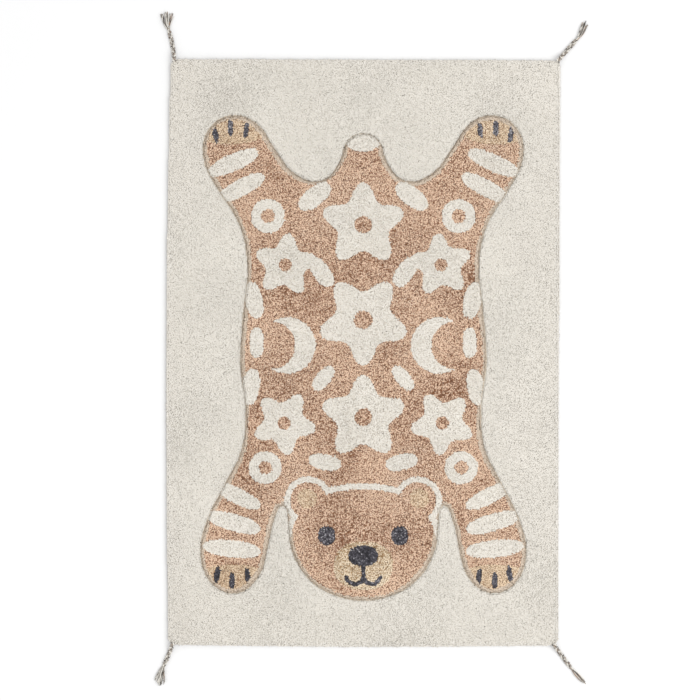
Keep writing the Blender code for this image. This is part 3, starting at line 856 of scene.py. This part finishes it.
def braid_paths(line, rng):
    """The yarns of the three strands: a strand swings over and under, and its yarns lie round it."""
    steps = max(30, round(line.braid / BRAID_PITCH * BRAID_STEPS))
    share = np.linspace(0.0, 1.0, steps)
    distance = share * (line.braid + NECK_LENGTH)
    let_down = np.clip((distance - STITCHED_LENGTH) / SEWN_LENGTH, 0.0, 1.0)
    sewn = SEWN_HEIGHT * (1.0 - 3 * let_down ** 2 + 2 * let_down ** 3)
    sewn -= SEWN_SINK * np.clip(STITCHED_LENGTH - distance, 0.0, 1.0)
    narrowing = 1.0 - BRAID_CLOSES * np.clip((share - BRAID_NARROWS) / (1 - BRAID_NARROWS), 0.0, 1.0)
    paths = []
    for strand in range(3):
        phase = 2 * math.pi * (distance / BRAID_PITCH + strand / 3)
        across = BRAID_SPREAD * narrowing * np.sin(phase)
        height = sewn + STRAND_RADIUS + BRAID_RISE + BRAID_RISE * narrowing * np.sin(2 * phase)
        for yarn in range(YARNS_IN_STRAND):
            angle = 2 * math.pi * (yarn / YARNS_IN_STRAND + distance / STRAND_TWIST) + strand
            ring = (STRAND_RADIUS - YARN_RADIUS) * (0.55 + 0.45 * narrowing)
            wobble = YARN_WOBBLE * np.sin(share * 40 + rng.uniform(0, 6))
            paths.append(line.points(distance, across + ring * np.cos(angle) + wobble,
                                     height + ring * np.sin(angle)))
    return np.array(paths)


def brush_paths(line, fan, gathers, rng):
    """The open ends of the yarns, from the neck down to the floor, splayed and a little curled."""
    share = np.linspace(0.0, 1.0, BRUSH_STEPS)
    start = line.braid + NECK_LENGTH * 0.3
    paths = []
    for yarn in range(BRUSH_YARNS):
        layer = yarn % BRUSH_LAYERS
        place = rng.uniform(-1.0, 1.0)
        length = (line.total - start) * rng.uniform(0.80, 1.0) * (1.0 - 0.12 * place ** 2)
        neck_angle = rng.uniform(0, 2 * math.pi)
        neck_reach = (NECK_RADIUS - NECK_WALL) * math.sqrt(rng.random())
        opening = share ** 0.8 * (1.0 - gathers * share ** 3)
        curl = BRUSH_CURL * np.sin(share * rng.uniform(3.0, 7.0) + rng.uniform(0, 6)) * share
        across = neck_reach * math.cos(neck_angle) * (1 - opening) + place * fan / 2 * opening + curl
        resting = YARN_RADIUS * (1.0 + 1.7 * layer)
        landed = np.clip(share * rng.uniform(1.5, 2.6), 0.0, 1.0)
        landed = 3 * landed ** 2 - 2 * landed ** 3
        leaving = NECK_RADIUS + neck_reach * math.sin(neck_angle)
        height = leaving + (resting - leaving) * landed
        height = height + 0.0005 * np.sin(share * 9 + yarn) * share
        paths.append(line.points(start + length * share, across, np.maximum(height, YARN_RADIUS)))
    return np.array(paths)


def whipping_path(line):
    """The thread's turns round the neck."""
    share = np.linspace(0.0, 1.0, THREAD_TURNS * THREAD_STEPS)
    angle = 2 * math.pi * THREAD_TURNS * share
    reach = NECK_RADIUS - THREAD_RADIUS
    distance = line.braid + NECK_LENGTH * (0.25 + 0.55 * share)
    return line.points(distance, reach * np.cos(angle), NECK_RADIUS + reach * np.sin(angle))[None]


def show_yarns(name, corner, paths, radii, shades, material, sides, ply_pitch, flatness):
    """Puts the yarns of one part of a tassel in the scene."""
    mesh = yarn_mesh(name + corner, paths, radii, shades, sides, ply_pitch, flatness)
    return show(name + corner, mesh, material)


def make_tassel(row, rng, yarn, thread):
    """A braid, its whipping and its brush at one corner."""
    corner, root_x, root_y, headings, braid, brush, fan, gathers = row
    corner_x, corner_y = CORNERS[corner]
    root = (corner_x - math.copysign(root_x, corner_x), corner_y - math.copysign(root_y, corner_y))
    line = TasselLine(root, headings, braid, brush)
    paths = braid_paths(line, rng)
    radii = np.full(paths.shape[:2], YARN_RADIUS)
    shades = np.linspace(0.02, 0.96, len(paths))
    braided = show_yarns("braid_", corner, paths, radii, shades, yarn, sides=8, ply_pitch=0.009,
                         flatness=0.13)
    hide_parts("tassel_" + corner)
    paths = brush_paths(line, fan, gathers, rng)
    radii = YARN_RADIUS * np.linspace(1.0, 0.8, BRUSH_STEPS) * rng.uniform(0.8, 1.2, (len(paths), 1))
    shades = rng.uniform(0.0, 1.0, len(paths))
    ends = show_yarns("brush_", corner, paths, radii, shades, yarn, sides=6, ply_pitch=0.006, flatness=0.18)
    paths = whipping_path(line)
    radii = np.full(paths.shape[:2], THREAD_RADIUS)
    wound = show_yarns("whipping_", corner, paths, radii, np.zeros(1), thread, sides=6, ply_pitch=0.003,
                       flatness=0.05)
    return [braided, ends, wound]


# --- the whole rug --------------------------------------------------------------------------------

def tuft_rug(tree, bear_edge, hem, top, materials, rng):
    """The whole pile: rows that follow the bear's outline, and straight rows in which each yarn has
    its places."""
    points, row = rows_of_tufts(rng)
    outside_bear, way_out = outside_by(points, bear_edge)
    from_slot = np.abs(outside_bear - SHOULDER - SLOT / 2)
    beside_line = SLOT / 2 + 1.2 * LINE_PITCH
    straight = from_slot > beside_line
    points, row = points[straight], row[straight]
    outside_bear, way_out = outside_bear[straight], way_out[straight]
    veil = VEIL_WANDER * smooth_field(points, rng, 0.20) + rng.normal(0.0, 0.0012, len(points))
    inside = outside_bear < SHOULDER
    outside_bear[inside] = np.minimum(outside_bear + veil, 0.99 * SHOULDER)[inside]
    yarn = yarn_at(points, outside_bear)
    near = outside_bear < SHOULDER + GROOVE
    points[near] = stand_back(points[near], outside_bear[near], way_out[near], yarn[near])
    width = np.ones(len(points))
    for offset in (SHOULDER - LINE_PITCH * 0.55, SHOULDER + SLOT / 2, SHOULDER + SLOT + LINE_PITCH * 0.55):
        followed, ways = rows_along(bear_edge, offset)
        wander = 0.0008 * smooth_field(followed, np.random.default_rng(LINE_SEED), 0.12)
        followed = followed + ways * wander[:, None]
        points = np.concatenate([points, followed])
        yarn = np.concatenate([yarn, yarn_at(followed, np.full(len(followed), offset))])
        row = np.concatenate([row, np.full(len(followed), row.max() + 1)])
        width = np.concatenate([width, np.full(len(followed), LINE_TUFT)])
    from_middle = np.hypot(*(points / BODY_REACH).T)
    beyond_hem, _ = outside_by(points, hem)
    on_rug = beyond_hem < RIM_ROUNDING - 0.0020
    points, row, yarn, width = points[on_rug], row[on_rug], yarn[on_rug], width[on_rug]
    beyond_hem, from_middle = beyond_hem[on_rug], from_middle[on_rug]
    width[beyond_hem > 0.0] *= EDGE_TUFT
    tops = heights_at(tree, points, top)
    ground, groove = YARNS.index("ground"), YARNS.index("groove")
    tops[(beyond_hem < -2 * RIM_ROUNDING) & (tops < GROOVE_LIP)] = GROOVE_LIP
    tops[yarn == groove] = GROOVE_PILE + 0.0008 * smooth_field(points[yarn == groove], rng, 0.30)
    at_hem = np.clip((beyond_hem - HEM_LEAN_FROM) / HEM_LEAN_OVER, 0.0, 1.0)
    outward = at_hem[:, None] * HEM_LEAN * np.sign(points)
    outward *= np.abs(points) / np.array(RUG_HALF) > 0.97
    # each row's own tone, with painted light along the hem
    row_tone_and_painted_hem_light = 0.03 * rng.normal(0.0, 1.0, row.max() + 1)[row] + 0.25 * (beyond_hem > -HEM_BAND)
    way, tone = clumps_of(points, rng)
    on_paws = np.clip((from_middle - PAWS_FROM) / PAWS_OVER, 0.0, 1.0)
    parted = PARTED_MIDDLE + (PARTED_PAWS - PARTED_MIDDLE) * on_paws
    drawn_out = np.where((yarn == ground)[:, None], np.array(ROW_PARTING), 1.0)
    pile = {
        "points": points,
        "tops": tops,
        "outward": outward,
        "width": width,
        "row_tone_and_painted_hem_light": row_tone_and_painted_hem_light,
        "lay": np.stack([smooth_field(points, rng, 0.35), smooth_field(points, rng, 0.28)], axis=1),
        "way": way,
        "clump": tone,
        "parting": np.abs(smooth_field(points * drawn_out, rng, PARTING, 12)),
        "parted_pile": (parted + 0.5 * smooth_field(points, rng, 0.25)).clip(0.0, 1.3),
    }
    low, high = GROUND_BANDS
    lengths = {"ground": (("_head", -1.0, low), ("_middle", low, high), ("_tail", high, 1.0)),
               "tan": (("_fore", -1.0, BEAR_WAIST), ("_hind", BEAR_WAIST, 1.0))}
    pieces = []
    for number, name in enumerate(YARNS):
        for part, low, high in lengths.get(name, (("", -1.0, 1.0),)):
            here = (yarn == number) & (points[:, 1] > low) & (points[:, 1] <= high)
            places = {what: values[here] for what, values in pile.items()}
            pieces.append(plant(f"{name}_pile{part}", name, places, materials[name], rng))
    pieces.append(rim_of_tufts(hem, materials["ground"], rng))
    return pieces


def make_rug():
    """Backing, pile, rim and tassels."""
    rng = np.random.default_rng(PILE_SEED)
    solid, tree = rug_solid()
    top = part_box("rug")[1].z
    bear_edge = edge_of_level(solid, top)
    hem = edge_of_level(solid, 0.0)
    materials = {name: cotton_cut_pile(f"{name}_cotton_cut_pile", *dye) for name, dye in DYES_AND_PAINTED_ROOT_SHADES.items()}
    backing = make_bed(solid, bear_edge)
    pile = tuft_rug(tree, bear_edge, hem, top, materials, rng)
    solid.free()
    yarn, thread = plied_yarn(), whipping_thread()
    tassels = []
    for row in TASSELS:
        tassels += make_tassel(row, rng, yarn, thread)


def make_studio():
    """A white floor in soft light that comes a little from the right, and the camera over the rug."""
    scene = bpy.context.scene
    bpy.ops.mesh.primitive_plane_add(size=40.0, location=(0.0, 0.0, -0.0004))
    floor = bpy.context.object
    floor.name = "floor"
    floor.data.materials.append(studio_floor())
    sky = bpy.data.worlds.new("soft_white_room")
    scene.world = sky
    sky.use_nodes = True
    room = sky.node_tree.nodes["Background"].inputs
    room["Color"].default_value = (1.0, 1.0, 1.0, 1.0)
    room["Strength"].default_value = ROOM_LIGHT
    softbox = bpy.data.lights.new("softbox", "AREA")
    softbox.shape = "RECTANGLE"
    softbox.size, softbox.size_y = LAMP_SIZE, LAMP_SIZE
    softbox.energy = LAMP_WATTS
    lamp = bpy.data.objects.new("softbox", softbox)
    lamp.location = LAMP_PLACE
    lamp.rotation_euler = (Vector((0.0, 0.0, 0.0)) - lamp.location).to_track_quat("-Z", "Y").to_euler()
    scene.collection.objects.link(lamp)
    camera = bpy.data.cameras.new("camera")
    camera.lens = LENS_MM
    camera.sensor_width = SENSOR_MM
    eye = bpy.data.objects.new("camera", camera)
    eye.location = (*VIEW_CENTRE, VIEW_WIDTH * LENS_MM / SENSOR_MM)
    scene.collection.objects.link(eye)
    scene.camera = eye
    scene.view_settings.view_transform = "Standard"


make_rug()
make_studio()
